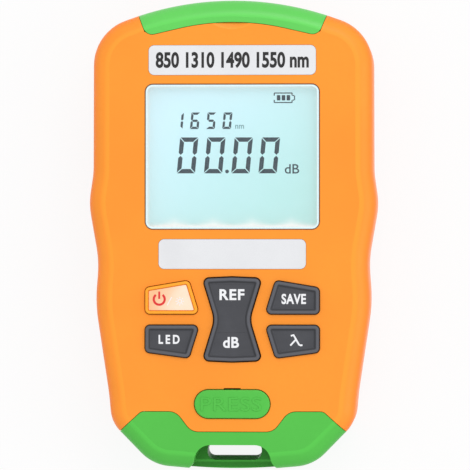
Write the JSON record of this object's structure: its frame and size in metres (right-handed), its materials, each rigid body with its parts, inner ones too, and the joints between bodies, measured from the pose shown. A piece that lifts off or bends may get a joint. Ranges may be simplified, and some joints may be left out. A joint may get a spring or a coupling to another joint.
{
  "type": "optical power meter",
  "caption": "Handheld fibre-optic power meter: orange case, lit display, silicone keys, hinged green port cover and a slide-off green battery end cap with lanyard bar.",
  "frame": {"origin": "under the middle of the case on its back face, which lies on the surface", "axes": "+Z out of the face, +Y to the end with the optical port, +X to the reader's right"},
  "size_m": [0.0778, 0.1272, 0.0309],
  "materials": {
    "case_orange": "satin moulded plastic",
    "trim_green": "satin moulded plastic",
    "key_grey": "matt silicone",
    "key_pale": "matt",
    "plate_silver": "matt silver",
    "window_clear": "polished clear",
    "lcd_glass": "pale lit display",
    "guide_milky": "milky",
    "lamp_white": "clear lens",
    "inner_black": "matt black",
    "board_green": "solder mask",
    "steel": "brushed",
    "nickel": "nickel plated",
    "sleeve_white": "polished",
    "cell_jacket": "printed jacket, plain"
  },
  "bodies": {
    "case": {"front_shell": "case_orange", "rear_shell": "case_orange", "cover_hinge_pin": "steel", "latch_spring": "steel", "latch_screw": "steel", "keypad_mat": "key_grey", "switch_domes": "steel", "title_plate": "plate_silver", "blank_plate": "plate_silver", "display_window": "window_clear", "lcd_frame": "inner_black", "lcd_gasket": "inner_black", "lcd_panel": "lcd_glass", "backlight_guide": "guide_milky", "backlight_lamps": "lamp_white", "connector_strip": "inner_black", "main_board": "board_green", "controller_chip": "inner_black", "amplifier_chip": "inner_black", "board_screws": "steel", "case_screws": "steel", "port_bulkhead": "inner_black", "optical_adapter": "nickel", "alignment_sleeve": "sleeve_white", "adapter_nut": "nickel", "photodiode": "nickel", "detector_board": "board_green", "torch_bezel": "nickel", "torch_lamp": "lamp_white", "battery_sleeve": "inner_black", "battery_cell_left": "cell_jacket", "battery_cell_middle": "cell_jacket", "battery_cell_right": "cell_jacket", "battery_contacts": "steel"},
    "cover": {"port_cover": "trim_green"},
    "cap": {"end_cap": "trim_green", "cap_contact_plate": "steel"},
    "button": {"release_button": "trim_green"},
    "power": {"power_key": "case_orange", "power_key_panel": "key_pale"},
    "save": {"save_key": "key_grey"},
    "led": {"led_key": "key_grey"},
    "wavelength": {"wavelength_key": "key_grey"},
    "rocker": {"ref_db_rocker": "key_grey"}
  },
  "joints": [
    {"name": "port_cover_hinge", "type": "hinge", "parent": "case", "child": "cover", "pos_m": [0, 0.0612, 0.003], "axis": [-1, 0, 0], "range_deg": [0, 90]},
    {"name": "end_cap_slide", "type": "slide", "parent": "case", "child": "cap", "axis": [0, -1, 0], "range_m": [0, 0.02], "deforming": ["latch_spring"]},
    {"name": "release_button_press", "type": "slide", "parent": "case", "child": "button", "axis": [0, 0, -1], "range_m": [0, 0.0018], "stiffness_N_per_m": 1000, "springref_m": -0.0005, "deforming": ["latch_spring"]},
    {"name": "power_key_press", "type": "slide", "parent": "case", "child": "power", "axis": [0, 0, -1], "range_m": [0, 0.0008], "stiffness_N_per_m": 1000, "springref_m": -0.0003},
    {"name": "save_key_press", "type": "slide", "parent": "case", "child": "save", "axis": [0, 0, -1], "range_m": [0, 0.0008], "stiffness_N_per_m": 1000, "springref_m": -0.0003},
    {"name": "led_key_press", "type": "slide", "parent": "case", "child": "led", "axis": [0, 0, -1], "range_m": [0, 0.0008], "stiffness_N_per_m": 1000, "springref_m": -0.0003},
    {"name": "wavelength_key_press", "type": "slide", "parent": "case", "child": "wavelength", "axis": [0, 0, -1], "range_m": [0, 0.0008], "stiffness_N_per_m": 1000, "springref_m": -0.0003},
    {"name": "rocker_tilt", "type": "hinge", "parent": "case", "child": "rocker", "pos_m": [0, -0.0228, 0.0261], "axis": [1, 0, 0], "range_deg": [-3, 3], "stiffness_Nm_per_rad": 0.3}
  ]
}
